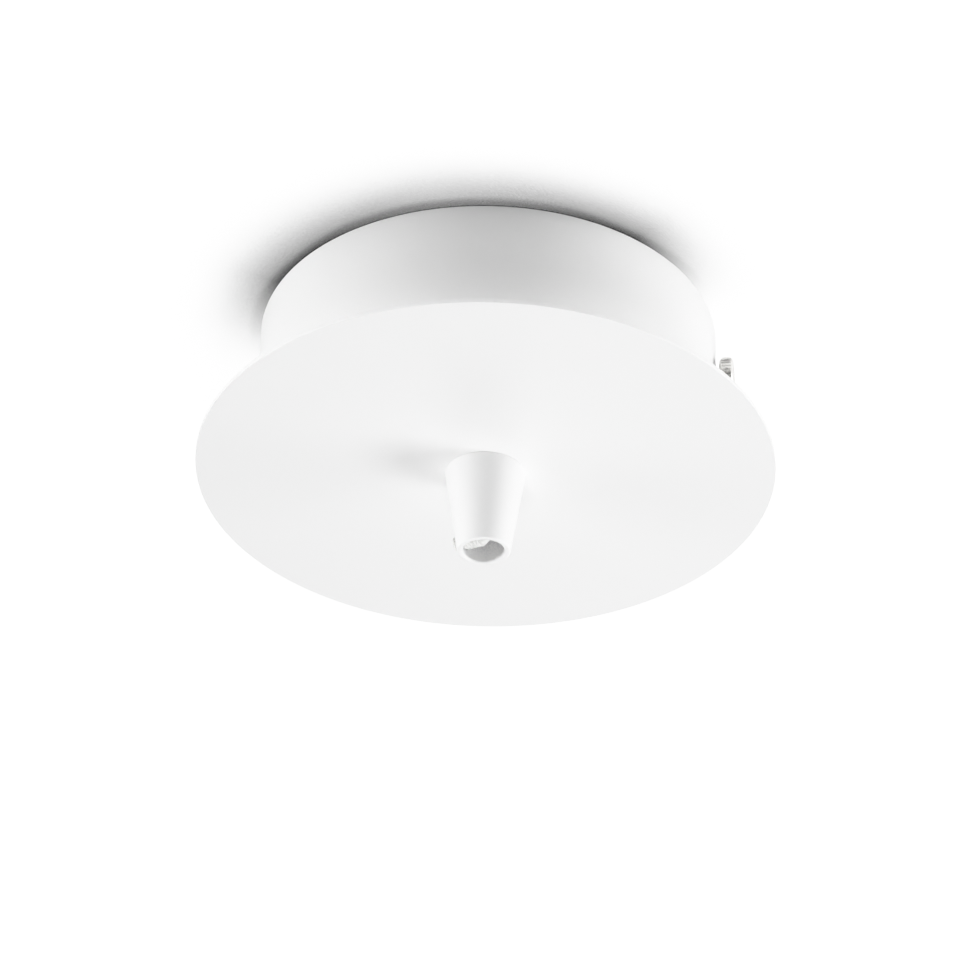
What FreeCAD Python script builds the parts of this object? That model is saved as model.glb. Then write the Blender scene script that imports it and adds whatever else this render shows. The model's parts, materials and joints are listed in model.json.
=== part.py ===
import FreeCAD, Part
import math
import os

# Ceiling rose for one pendant lamp. Millimetres, +Z up.
# The ceiling is the plane z = 0 and the rose hangs below it; the thumb screws lie along X.

# Drum: a drawn cup, open towards the ceiling
drum_d = 120.0
drum_h = 40.0
drum_wall = 1.0
drum_inner_corner_r = 1.0

# Front disc under the drum
disc_d = 150.0
disc_t = 1.2
disc_edge_r = 0.45

# Cord cone under the disc
cone_base_d = 20.9
cone_tip_d = 13.6
cone_len = 24.0
cone_mouth_d = 10.6
cone_thread_len = 10.0
cone_tip_edge_r = 0.8
cone_mouth_edge = 0.3

# Hollow threaded nipple that clamps cone, disc and drum together
nipple_d = 10.0
nipple_bore_d = 7.4
nipple_end_gap = 0.5
nipple_above_nut = 3.0
nipple_edge = 0.5

# Washers, nut and cord bush on the nipple, inside the drum
flat_washer_d = 26.0
flat_washer_t = 1.5
tooth_washer_d = 17.0
tooth_washer_t = 0.8
tooth_count = 14
tooth_depth = 1.6
nipple_nut_af = 14.0
nipple_nut_t = 3.5
bush_flange_d = 12.6
bush_flange_t = 1.4
bush_sleeve_len = 6.0
bush_bore_d = 6.4

# Nylon cord screw across the mouth of the cone
cord_screw_d = 4.0
cord_screw_up = 4.2
cord_screw_angle = 163.0
cord_screw_past_axis = 1.4
cord_screw_stand_out = 1.0
cord_screw_point_len = 1.8
cord_screw_point_d = 1.8
cord_screw_slot_w = 0.7
cord_screw_slot_deep = 1.1

# Knurled thumb screws through the drum wall, and the nuts welded inside it
thumb_d = 4.0
thumb_down = 15.0
thumb_head_d = 9.8
thumb_head_len = 3.0
thumb_head_edge = 0.55
thumb_head_gap = 2.0
thumb_tip_edge = 0.5
knurl_count = 32
knurl_deep = 0.35
weld_nut_af = 7.0
weld_nut_t = 3.2

# Ceiling bracket: a strap with a tab turned down at each end
strap_w = 24.0
strap_t = 1.5
strap_bend_r = 1.0
tab_drop = 24.0
slot_spacing = 76.0
slot_len = 16.0
slot_w = 5.0
cable_hole_d = 14.0

# Terminal block under the strap, with a brass terminal in each pole
block_x = 20.0
block_w = 17.0
pole_count = 3
pole_pitch = 12.0
pole_w = 7.0
pole_h = 8.4
pole_edge_r = 1.2
web_t = 3.0
chimney_d = 6.0
chimney_len = 3.4
chimney_spacing = 8.4
terminal_d = 5.2
terminal_len = 14.0
terminal_bore_d = 3.2
terminal_screw_d = 3.0
terminal_head_d = 3.8
terminal_head_len = 1.6
terminal_head_rise = 0.5
block_screw_d = 2.5
block_head_d = 4.5
block_head_len = 1.6

# Earth terminal under the other half of the strap
earth_x = 20.0
earth_screw_d = 4.0
earth_head_d = 7.8
earth_head_len = 2.6
cup_washer_d = 10.0
cup_washer_t = 0.8
cup_wall = 0.9
cup_deep = 1.4
lock_washer_d = 7.0
lock_washer_t = 1.0
lock_washer_cut = 0.8

# Driver slots and turned edges of screw heads, as shares of the head
slot_width_share = 0.16
slot_depth_share = 0.5
head_edge_share = 0.15

# Gaps between the washer's teeth and grooves of the knurl, as shares of their pitch
tooth_gap_share = 0.4
knurl_groove_share = 0.84

# The most of a sheet's thickness that one rounded edge may take
edge_limit_share = 0.45

# Clearances
thread_clear = 0.05
hole_clear = 0.3
washer_clear = 0.25
weld_gap = 0.05
tip_to_tab = 0.2
nut_to_tab = 0.8
screw_below_ceiling = 0.3
seat_clear = 0.1

# Levels below the ceiling
drum_r = drum_d / 2
drum_inner_r = drum_r - drum_wall
drum_floor_z = drum_wall - drum_h
disc_top_z = -drum_h
disc_low_z = disc_top_z - disc_t
cone_tip_z = disc_low_z - cone_len
cone_step_z = disc_low_z - cone_thread_len
flat_washer_z = drum_floor_z
tooth_washer_z = flat_washer_z + flat_washer_t
nipple_nut_z = tooth_washer_z + tooth_washer_t
nipple_top_z = nipple_nut_z + nipple_nut_t + nipple_above_nut
nipple_low_z = cone_step_z + nipple_end_gap
cord_screw_z = cone_tip_z + cord_screw_up
strap_low_z = -strap_t
terminal_z = strap_low_z - pole_h / 2

# Faces across the drum
weld_nut_face_x = drum_inner_r - weld_nut_t
tab_face_x = weld_nut_face_x - nut_to_tab
thumb_tip_x = tab_face_x + tip_to_tab
thumb_head_x = drum_r + thumb_head_gap

O = FreeCAD.Vector(0, 0, 0)
X = FreeCAD.Vector(1, 0, 0)
Y = FreeCAD.Vector(0, 1, 0)
Z = FreeCAD.Vector(0, 0, 1)


def at(x, y, z):
    return FreeCAD.Vector(x, y, z)


def rod(d, length, base, axis):
    """Round bar of diameter d from the point base along axis."""
    return Part.makeCylinder(d / 2, length, base, axis)


def turned(outline):
    """Body of revolution about Z from (radius, height) corners."""
    corners = [at(r, 0, z) for r, z in outline]
    face = Part.Face(Part.makePolygon(corners + corners[:1]))
    return face.revolve(O, Z, 360)


def block(size_x, size_y, size_z, centre):
    """Box of the given size about its centre."""
    corner = centre - at(size_x / 2, size_y / 2, size_z / 2)
    return Part.makeBox(size_x, size_y, size_z, corner)


def ring(d_out, d_in, z_low, thickness):
    """Flat ring about Z."""
    outer = rod(d_out, thickness, at(0, 0, z_low), Z)
    return outer.cut(rod(d_in, thickness, at(0, 0, z_low), Z))


def level_edges(shape, z):
    """Edges of the shape that lie wholly at height z."""
    near = 1e-4
    return [e for e in shape.Edges if abs(e.BoundBox.ZMin - z) < near and abs(e.BoundBox.ZMax - z) < near]


def around_z(shape, angle, z=0.0):
    """Copy turned about Z by angle degrees and lifted to z."""
    copy = shape.copy()
    copy.rotate(O, Z, angle)
    copy.translate(at(0, 0, z))
    return copy


def hex_nut(across_flats, thickness, hole_d):
    """Hexagon nut on Z from z = 0 up, with its corners turned off at both faces."""
    corner_r = across_flats / math.sqrt(3)
    chamfer = (corner_r - across_flats / 2) * math.tan(math.radians(30))
    corners = [at(corner_r * math.cos(math.radians(60 * k)), corner_r * math.sin(math.radians(60 * k)), 0)
               for k in range(7)]
    prism = Part.Face(Part.makePolygon(corners)).extrude(at(0, 0, thickness))
    barrel = turned([(0, 0), (across_flats / 2, 0), (corner_r, chamfer), (corner_r, thickness - chamfer),
                     (across_flats / 2, thickness), (0, thickness)])
    return prism.common(barrel).cut(rod(hole_d, thickness, O, Z))


def slotted_screw(d, length, head_d, head_len):
    """Cheese-head screw on Z: the shank rises from z = 0, the slotted head hangs below."""
    shank = rod(d, length, O, Z)
    head = rod(head_d, head_len, at(0, 0, -head_len), Z)
    head = head.makeChamfer(head_edge_share * head_len, level_edges(head, -head_len))
    deep = slot_depth_share * head_len
    slot = block(head_d, slot_width_share * head_d, deep, at(0, 0, deep / 2 - head_len))
    return shank.fuse(head.cut(slot)).removeSplitter()


def make_drum():
    outer_corner_r = drum_inner_corner_r + drum_wall
    outer = rod(drum_d, drum_h, at(0, 0, -drum_h), Z)
    outer = outer.makeFillet(outer_corner_r, level_edges(outer, -drum_h))
    inner = rod(2 * drum_inner_r, drum_h, at(0, 0, drum_floor_z), Z)
    inner = inner.makeFillet(drum_inner_corner_r, level_edges(inner, drum_floor_z))
    drum = outer.cut(inner)
    drum = drum.cut(rod(nipple_d + 2 * hole_clear, drum_wall, at(0, 0, -drum_h), Z))
    side_hole = rod(thumb_d + 2 * hole_clear, 2 * drum_d, at(-drum_d, 0, -thumb_down), X)
    return drum.cut(side_hole)


def make_disc():
    disc = ring(disc_d, nipple_d + 2 * hole_clear, disc_low_z, disc_t)
    edge_r = min(disc_edge_r, edge_limit_share * disc_t)
    edges = level_edges(disc, disc_low_z) + level_edges(disc, disc_top_z)
    rims = [e for e in edges if e.Curve.Radius > disc_d / 4]
    return disc.makeFillet(edge_r, rims)


def cone_radius(up):
    """Outer radius of the cone at a height above its tip."""
    return (cone_tip_d + (cone_base_d - cone_tip_d) * up / cone_len) / 2


def make_cone():
    outer = Part.makeCone(cone_tip_d / 2, cone_base_d / 2, cone_len, at(0, 0, cone_tip_z), Z)
    outer = outer.makeFillet(cone_tip_edge_r, level_edges(outer, cone_tip_z))
    mouth_r = cone_mouth_d / 2
    thread_r = nipple_d / 2 + thread_clear
    way = turned([(0, cone_tip_z), (mouth_r + cone_mouth_edge, cone_tip_z),
                  (mouth_r, cone_tip_z + cone_mouth_edge), (mouth_r, cone_step_z),
                  (thread_r, cone_step_z), (thread_r, disc_low_z), (0, disc_low_z)])
    screw_hole = rod(cord_screw_d + 2 * thread_clear, cone_base_d, O, X)
    return outer.cut(way).cut(around_z(screw_hole, cord_screw_angle, cord_screw_z))


def make_nipple():
    length = nipple_top_z - nipple_low_z
    tube = ring(nipple_d, nipple_bore_d, nipple_low_z, length)
    ends = [e for z in (nipple_low_z, nipple_top_z) for e in level_edges(tube, z)
            if abs(e.Curve.Radius - nipple_d / 2) < 1e-4]
    return tube.makeChamfer(nipple_edge, ends)


def make_flat_washer():
    return ring(flat_washer_d, nipple_d + 2 * washer_clear, flat_washer_z, flat_washer_t)


def make_tooth_washer():
    washer = ring(tooth_washer_d, nipple_d + 2 * washer_clear, tooth_washer_z, tooth_washer_t)
    gap_w = tooth_gap_share * math.pi * tooth_washer_d / tooth_count
    reach = tooth_washer_d / 2 - tooth_depth / 2
    gap = block(tooth_depth, gap_w, tooth_washer_t, at(reach, 0, tooth_washer_t / 2))
    gaps = [around_z(gap, 360 * k / tooth_count, tooth_washer_z) for k in range(tooth_count)]
    return washer.cut(gaps)


def make_nipple_nut():
    nut = hex_nut(nipple_nut_af, nipple_nut_t, nipple_d + 2 * thread_clear)
    return around_z(nut, 0, nipple_nut_z)


def make_bush():
    sleeve_d = nipple_bore_d - 2 * thread_clear
    flange = rod(bush_flange_d, bush_flange_t, at(0, 0, nipple_top_z), Z)
    flange = flange.makeFillet(bush_flange_t / 2, level_edges(flange, nipple_top_z + bush_flange_t))
    sleeve = rod(sleeve_d, bush_sleeve_len, at(0, 0, nipple_top_z - bush_sleeve_len), Z)
    bore = rod(bush_bore_d, bush_sleeve_len + bush_flange_t, at(0, 0, nipple_top_z - bush_sleeve_len), Z)
    return flange.fuse(sleeve).cut(bore).removeSplitter()


def make_cord_screw():
    end_r = cone_radius(cord_screw_up) + cord_screw_stand_out
    body_start = cord_screw_point_len - cord_screw_past_axis
    body = rod(cord_screw_d, end_r - body_start, at(body_start, 0, 0), X)
    point = Part.makeCone(cord_screw_point_d / 2, cord_screw_d / 2, cord_screw_point_len,
                          at(-cord_screw_past_axis, 0, 0), X)
    slot = block(cord_screw_slot_deep, cord_screw_d, cord_screw_slot_w,
                 at(end_r - cord_screw_slot_deep / 2, 0, 0))
    screw = body.fuse(point).cut(slot).removeSplitter()
    return around_z(screw, cord_screw_angle, cord_screw_z)


def make_knurled_head():
    """Thumb-screw head about Z from z = 0 up, with V grooves along its side."""
    head_r = thumb_head_d / 2
    neck_r = head_r - thumb_head_edge
    far_edge_z = thumb_head_len - thumb_head_edge
    head = turned([(0, 0), (neck_r, 0), (head_r, thumb_head_edge), (head_r, far_edge_z),
                   (neck_r, thumb_head_len), (0, thumb_head_len)])
    groove_w = knurl_groove_share * math.pi * thumb_head_d / knurl_count
    root = at(head_r - knurl_deep, 0, 0)
    wedge = [root, at(head_r + knurl_deep, groove_w, 0), at(head_r + knurl_deep, -groove_w, 0), root]
    groove = Part.Face(Part.makePolygon(wedge)).extrude(at(0, 0, thumb_head_len))
    return head.cut([around_z(groove, 360 * k / knurl_count) for k in range(knurl_count)])


def make_thumb_screw(side_angle):
    shank_len = thumb_head_x - thumb_tip_x
    shank = rod(thumb_d, shank_len, at(0, 0, -shank_len), Z)
    shank = shank.makeChamfer(thumb_tip_edge, level_edges(shank, -shank_len))
    screw = make_knurled_head().fuse(shank).removeSplitter()
    screw.rotate(O, Y, 90)
    screw.translate(at(thumb_head_x, 0, 0))
    return around_z(screw, side_angle, -thumb_down)


def make_weld_nuts():
    reach = weld_nut_t + drum_wall
    nut = hex_nut(weld_nut_af, reach, thumb_d + 2 * thread_clear)
    nut.rotate(O, Y, 90)
    nut.translate(at(weld_nut_face_x, 0, -thumb_down))
    inside = rod(2 * (drum_inner_r - weld_gap), drum_h, at(0, 0, -drum_h), Z)
    right = nut.common(inside)
    return Part.makeCompound([right.Solids[0], around_z(right, 180).Solids[0]])


def make_bracket():
    long = 2 * tab_face_x
    outer = block(long, strap_w, tab_drop, at(0, 0, -tab_drop / 2))
    bends = [e for e in level_edges(outer, 0) if e.BoundBox.XLength < 1e-4]
    outer = outer.makeFillet(strap_bend_r + strap_t, bends)
    gap = block(long - 2 * strap_t, strap_w, tab_drop, at(0, 0, strap_low_z - tab_drop / 2))
    corners = [e for e in level_edges(gap, strap_low_z) if e.BoundBox.XLength < 1e-4]
    strap = outer.cut(gap.makeFillet(strap_bend_r, corners))
    holes = [rod(cable_hole_d, strap_t, at(0, 0, strap_low_z), Z),
             rod(earth_screw_d + 2 * thread_clear, strap_t, at(-earth_x, 0, strap_low_z), Z)]
    for y in web_places():
        holes.append(rod(block_screw_d + 2 * thread_clear, strap_t, at(block_x, y, strap_low_z), Z))
    straight = slot_len - slot_w
    for x in (-slot_spacing / 2, slot_spacing / 2):
        holes.append(block(straight, slot_w, strap_t, at(x, 0, strap_low_z / 2)))
        for end in (x - straight / 2, x + straight / 2):
            holes.append(rod(slot_w, strap_t, at(end, 0, strap_low_z), Z))
    return strap.cut(holes)


def pole_places():
    """Y of each pole of the terminal block."""
    return [pole_pitch * (k - (pole_count - 1) / 2) for k in range(pole_count)]


def web_places():
    """Y of each web between two poles, where the block is screwed to the strap."""
    poles = pole_places()
    return [(a + b) / 2 for a, b in zip(poles, poles[1:])]


def chimney_places():
    """X of the two screw chimneys of a pole."""
    return [block_x - chimney_spacing / 2, block_x + chimney_spacing / 2]


def make_terminal_block():
    pole_low_z = strap_low_z - pole_h
    pieces = []
    for y in pole_places():
        pole = block(block_w, pole_w, pole_h, at(block_x, y, strap_low_z - pole_h / 2))
        long_edges = [e for e in level_edges(pole, pole_low_z) if e.BoundBox.YLength < 1e-4]
        pieces.append(pole.makeFillet(pole_edge_r, long_edges))
        for x in chimney_places():
            pieces.append(rod(chimney_d, chimney_len, at(x, y, pole_low_z - chimney_len), Z))
    for y in web_places():
        pieces.append(block(block_w, pole_pitch - pole_w, web_t, at(block_x, y, strap_low_z - web_t / 2)))
    body = pieces[0].fuse(pieces[1:]).removeSplitter()
    chimney_deep = chimney_len + pole_h / 2
    for y in pole_places():
        start = at(block_x - block_w / 2, y, terminal_z)
        body = body.cut(rod(terminal_d + 2 * seat_clear, block_w, start, X))
        for x in chimney_places():
            mouth = at(x, y, terminal_z - chimney_deep)
            body = body.cut(rod(terminal_head_d + 2 * seat_clear, chimney_deep, mouth, Z))
    for y in web_places():
        body = body.cut(rod(block_screw_d + 2 * hole_clear, web_t, at(block_x, y, strap_low_z - web_t), Z))
    return body


def make_terminal(y):
    start = at(block_x - terminal_len / 2, y, terminal_z)
    tube = rod(terminal_d, terminal_len, start, X).cut(rod(terminal_bore_d, terminal_len, start, X))
    for x in chimney_places():
        mouth = at(x, y, terminal_z - terminal_d)
        tube = tube.cut(rod(terminal_screw_d + 2 * thread_clear, terminal_d, mouth, Z))
    return tube


def make_terminal_screws():
    shank_len = (terminal_d - terminal_bore_d) / 2 + terminal_head_rise
    screw = slotted_screw(terminal_screw_d, shank_len, terminal_head_d, terminal_head_len)
    screws = []
    for y in pole_places():
        for x in chimney_places():
            copy = screw.copy()
            copy.translate(at(x, y, terminal_z - terminal_bore_d / 2 - shank_len))
            screws.append(copy.Solids[0])
    return Part.makeCompound(screws)


def make_block_screws():
    head_seat_z = strap_low_z - web_t
    length = -screw_below_ceiling - head_seat_z
    screw = slotted_screw(block_screw_d, length, block_head_d, block_head_len)
    screws = []
    for y in web_places():
        copy = screw.copy()
        copy.translate(at(block_x, y, head_seat_z))
        screws.append(copy.Solids[0])
    return Part.makeCompound(screws)


def make_cup_washer():
    floor_z = strap_low_z - cup_deep - cup_washer_t
    floor = ring(cup_washer_d, earth_screw_d + 2 * washer_clear, floor_z, cup_washer_t)
    wall = ring(cup_washer_d, cup_washer_d - 2 * cup_wall, floor_z + cup_washer_t, cup_deep)
    cup = floor.fuse(wall).removeSplitter()
    cup.translate(at(-earth_x, 0, 0))
    return cup


def make_lock_washer():
    low_z = strap_low_z - cup_deep - cup_washer_t - lock_washer_t
    washer = ring(lock_washer_d, earth_screw_d + 2 * washer_clear, low_z, lock_washer_t)
    middle = at(lock_washer_d / 2, 0, low_z + lock_washer_t / 2)
    washer = washer.cut(block(lock_washer_d, lock_washer_cut, lock_washer_t, middle))
    washer.translate(at(-earth_x, 0, 0))
    return washer


def make_earth_screw():
    head_seat_z = strap_low_z - cup_deep - cup_washer_t - lock_washer_t
    screw = slotted_screw(earth_screw_d, -screw_below_ceiling - head_seat_z, earth_head_d, earth_head_len)
    screw.translate(at(-earth_x, 0, head_seat_z))
    return screw


nodes = {
    "drum_shell": make_drum(),
    "front_disc": make_disc(),
    "cord_cone": make_cone(),
    "threaded_nipple": make_nipple(),
    "nipple_flat_washer": make_flat_washer(),
    "nipple_tooth_washer": make_tooth_washer(),
    "nipple_hex_nut": make_nipple_nut(),
    "nipple_cord_bush": make_bush(),
    "cord_screw": make_cord_screw(),
    "thumb_screw_right": make_thumb_screw(0),
    "thumb_screw_left": make_thumb_screw(180),
    "side_weld_nuts": make_weld_nuts(),
    "ceiling_bracket": make_bracket(),
    "terminal_block": make_terminal_block(),
    "terminal_screws": make_terminal_screws(),
    "block_fixing_screws": make_block_screws(),
    "earth_screw": make_earth_screw(),
    "earth_cup_washer": make_cup_washer(),
    "earth_lock_washer": make_lock_washer(),
}
for number, pole_y in enumerate(pole_places(), 1):
    nodes["terminal_tube_%d" % number] = make_terminal(pole_y)

os.makedirs("parts", exist_ok=True)
for name, shape in nodes.items():
    shape.exportStep("parts/%s.step" % name)
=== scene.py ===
"""Looks of a white ceiling rose: drum, disc, cord cone, screws and the works inside the drum."""
import json
import logging
import math
from collections.abc import Callable, Sequence
from dataclasses import dataclass, field
from enum import Enum

import bmesh
import bpy
from mathutils import Matrix, Vector


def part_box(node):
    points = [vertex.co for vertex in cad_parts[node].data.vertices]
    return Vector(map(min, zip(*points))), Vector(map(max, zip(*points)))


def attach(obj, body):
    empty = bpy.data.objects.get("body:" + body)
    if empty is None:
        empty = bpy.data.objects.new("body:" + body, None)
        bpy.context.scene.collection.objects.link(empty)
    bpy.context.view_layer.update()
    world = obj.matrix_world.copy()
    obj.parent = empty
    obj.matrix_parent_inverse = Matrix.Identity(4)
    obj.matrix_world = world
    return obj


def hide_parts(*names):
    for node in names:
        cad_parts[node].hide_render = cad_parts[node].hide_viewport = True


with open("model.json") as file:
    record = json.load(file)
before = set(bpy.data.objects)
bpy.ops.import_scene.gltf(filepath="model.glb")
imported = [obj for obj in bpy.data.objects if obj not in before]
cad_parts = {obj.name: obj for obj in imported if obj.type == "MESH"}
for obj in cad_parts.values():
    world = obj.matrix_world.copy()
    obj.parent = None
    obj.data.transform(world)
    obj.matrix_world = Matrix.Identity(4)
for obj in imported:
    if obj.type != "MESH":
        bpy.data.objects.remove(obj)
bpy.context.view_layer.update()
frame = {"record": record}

LOG = logging.getLogger("ceiling_rose")
MM = 0.001
FULL_TURN = 2.0 * math.pi
ALONG_X = Matrix.Rotation(math.radians(90.0), 4, "Y")

# Vertices this close are one, and edges that turn by more than this angle stay sharp
MERGE_REACH = 1e-6
SHARP_ANGLE = math.radians(36.0)

# A form that trims a thread or a knurl stands clear of its crests by this much
CREST_CLEAR = 0.02 * MM

# Poles of the terminal block, and the rows of the two screws that hold it to the strap
POLE_PITCH = 12.0 * MM
BLOCK_SCREW_ROWS = (-POLE_PITCH / 2.0, POLE_PITCH / 2.0)

Colour = tuple[float, float, float]
Point = tuple[float, float, float]
Span = tuple[float, float]


class Body(Enum):
    """Bodies of the rose that a piece can ride on."""

    BRACKET = "bracket"
    CANOPY = "canopy"
    RIGHT_SCREW = "thumb_screw_right"
    LEFT_SCREW = "thumb_screw_left"
    CORD_SCREW = "cord_screw"


class Slot(Enum):
    """Finishes that the part's record names."""

    COAT = "white_coat"
    NICKEL = "nickel_screw"
    NYLON = "white_nylon"
    ZINC = "zinc_steel"
    BRASS = "brass_thread"
    BLOCK = "block_plastic"
    BUSH = "bush_plastic"


class Joining(Enum):
    """Ways in which one closed shape works on another."""

    CUT = "DIFFERENCE"
    KEEP = "INTERSECT"
    WELD = "UNION"


class Side(Enum):
    """Sides of the drum that carry a thumb screw."""

    RIGHT = 1
    LEFT = -1


class Signal:
    """One output socket of a node; arithmetic on it adds Math nodes."""

    def __init__(self, sheet: "NodeSheet", socket: bpy.types.NodeSocket) -> None:
        """Hold the socket and the sheet that it lies on."""
        self.sheet = sheet
        self.socket = socket

    def math(self, operation: str, first: "Signal | float", second: "Signal | float") -> "Signal":
        """Add one Math node.

        Args:
            operation: What the node works out.
            first: The first value or signal.
            second: The second value or signal.

        Returns:
            The node's result.
        """
        return self.sheet.add("ShaderNodeMath", {"operation": operation}, {0: first, 1: second})

    def __add__(self, other: "Signal | float") -> "Signal":
        """Give the sum."""
        return self.math("ADD", self, other)

    def __radd__(self, other: "Signal | float") -> "Signal":
        """Give the sum with the signal on the right."""
        return self.math("ADD", other, self)

    def __sub__(self, other: "Signal | float") -> "Signal":
        """Give the difference."""
        return self.math("SUBTRACT", self, other)

    def __rsub__(self, other: "Signal | float") -> "Signal":
        """Give the difference with the signal on the right."""
        return self.math("SUBTRACT", other, self)

    def __mul__(self, other: "Signal | float") -> "Signal":
        """Give the product."""
        return self.math("MULTIPLY", self, other)

    def __rmul__(self, other: "Signal | float") -> "Signal":
        """Give the product with the signal on the right."""
        return self.math("MULTIPLY", other, self)


class NodeSheet:
    """The node tree of one material."""

    def __init__(self, name: str) -> None:
        """Make a material with a plain shader and the object's own coordinates.

        Args:
            name: Name of the material.
        """
        self.material = bpy.data.materials.new(name)
        self.material.use_nodes = True
        self.tree = self.material.node_tree
        self.shader = self.tree.nodes["Principled BSDF"]
        self.place = self.add("ShaderNodeTexCoord", {}, {}, "Object")

    def feed(self, node: bpy.types.Node, sockets: dict) -> None:
        """Set or link the inputs of a node.

        Args:
            node: The node.
            sockets: Values or signals by input name or number.
        """
        for key, term in sockets.items():
            if isinstance(term, Signal):
                self.tree.links.new(term.socket, node.inputs[key])
            else:
                node.inputs[key].default_value = term

    def add(self, kind: str, settings: dict, sockets: dict, output: int | str = 0) -> Signal:
        """Add any node.

        Args:
            kind: The node's type.
            settings: Its properties; "stops" holds a ramp's places and greys.
            sockets: Values or signals by input name or number.
            output: Name or number of the output that is wanted.

        Returns:
            The wanted output.
        """
        node = self.tree.nodes.new(kind)
        for key, value in settings.items():
            if key == "stops":
                ends = node.color_ramp.elements
                for stop, (spot, grey) in zip((ends[0], ends[1]), value):
                    stop.position = spot
                    stop.color = (grey, grey, grey, 1.0)
            else:
                setattr(node, key, value)
        self.feed(node, sockets)
        return Signal(self, node.outputs[output])

    def noise(self, size: float, detail: float = 2.0, stretch: Point = (1.0, 1.0, 1.0)) -> Signal:
        """Add soft noise.

        Args:
            size: Width of one blotch in metres.
            detail: How many finer layers it has.
            stretch: How much finer it is along each axis.

        Returns:
            The noise from 0 to 1.
        """
        place = self.add("ShaderNodeMapping", {}, {"Vector": self.place, "Scale": stretch})
        sockets = {"Vector": place, "Scale": 1.0 / size, "Detail": detail}
        return self.add("ShaderNodeTexNoise", {}, sockets, 0)

    def ramp(self, signal: Signal, low: float, high: float) -> Signal:
        """Stretch a signal so that low becomes 0 and high becomes 1.

        Args:
            signal: What is stretched.
            low: The value that becomes 0.
            high: The value that becomes 1.

        Returns:
            The stretched signal.
        """
        return self.add("ShaderNodeValToRGB", {"stops": ((low, 0.0), (high, 1.0))}, {"Fac": signal})

    def blend(self, first: Colour, second: Colour, factor: Signal) -> Signal:
        """Blend two colours.

        Args:
            first: Colour where the factor is 0.
            second: Colour where the factor is 1.
            factor: The signal between them.

        Returns:
            The blended colour.
        """
        sockets = {0: factor, 6: (*first, 1.0), 7: (*second, 1.0)}
        return self.add("ShaderNodeMix", {"data_type": "RGBA"}, sockets, 2)

    def bump(self, height: Signal, strength: float, depth: float) -> Signal:
        """Raise a surface by a signal.

        Args:
            height: The signal.
            strength: Share of the effect that is used.
            depth: Height in metres that a full step stands for.

        Returns:
            The bent normal.
        """
        sockets = {"Strength": strength, "Distance": depth, "Height": height}
        return self.add("ShaderNodeBump", {}, sockets)

    def shade(self, sockets: dict) -> bpy.types.Material:
        """Feed the shader and give the finished material."""
        self.feed(self.shader, sockets)
        return self.material


@dataclass(frozen=True)
class PowderCoat:
    """Satin white powder coat with a faint orange peel."""

    name: str = "satin_white_coat"
    deep: Colour = (0.845, 0.845, 0.845)
    pale: Colour = (0.865, 0.865, 0.865)
    roughness: float = 0.46
    cloud: float = 30.0 * MM
    cloud_play: float = 0.08
    peel: float = 1.3 * MM
    peel_strength: float = 0.4
    peel_depth: float = 0.010 * MM
    grain_share: float = 0.2
    grain_play: float = 0.05

    def make(self) -> bpy.types.Material:
        """Make the material.

        Returns:
            The finished coat.
        """
        sheet = NodeSheet(self.name)
        cloud = sheet.noise(self.cloud)
        peel = sheet.noise(self.peel)
        grain = sheet.noise(self.grain_share * self.peel, 1.0)
        play = self.cloud_play * (cloud - 0.5) + self.grain_play * (grain - 0.5)
        return sheet.shade({
            "Base Color": sheet.blend(self.deep, self.pale, cloud),
            "Roughness": self.roughness + play,
            "Normal": sheet.bump(peel + self.grain_share * grain, self.peel_strength, self.peel_depth),
        })


@dataclass(frozen=True)
class PaintedShadeBore:
    """Inside of the cone, painted paler than the coat at the mouth and painted darker deeper in, with
    speckled patches on a rough surface.
    """

    name: str = "bore_painted_shade"
    # Painted light and shade: the pale end is lighter than the coat, the deep end is the painted shade deep
    # in the bore.
    deep: Colour = (0.80, 0.81, 0.83)
    pale: Colour = (0.99, 0.99, 0.99)
    roughness: float = 0.62
    roughness_play: float = 0.2
    speck: float = 0.45 * MM
    speck_span: Span = (0.36, 0.66)
    speck_strength: float = 0.6
    speck_depth: float = 0.06 * MM
    patch: float = 2.6 * MM
    patch_share: float = 0.5
    # Painted shade darkens the bore over this height above the mouth, to this strength.
    shade_depth: float = 5.5 * MM
    shade_strength: float = 1.25

    def make(self) -> bpy.types.Material:
        """Make the material.

        Returns:
            The finished bore.
        """
        sheet = NodeSheet(self.name)
        speck = sheet.ramp(sheet.noise(self.speck, 3.0), *self.speck_span)
        patch = sheet.noise(self.patch, 2.0)
        mouth = NodeBox.of("cord_cone").low.z
        height = sheet.add("ShaderNodeSeparateXYZ", {}, {"Vector": sheet.place}, "Z")
        # Painted shade: darker with height above the mouth, broken by specks and patches.
        inward_shade = sheet.ramp((height - mouth) * (1.0 / self.shade_depth), 0.0, 1.0)
        lightness = 1.0 - inward_shade * (self.shade_strength - speck - self.patch_share * patch)
        return sheet.shade({
            "Base Color": sheet.blend(self.deep, self.pale, sheet.ramp(lightness, 0.0, 1.0)),
            "Roughness": self.roughness + self.roughness_play * (speck - 0.5),
            "Normal": sheet.bump(speck, self.speck_strength, self.speck_depth),
        })


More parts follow.
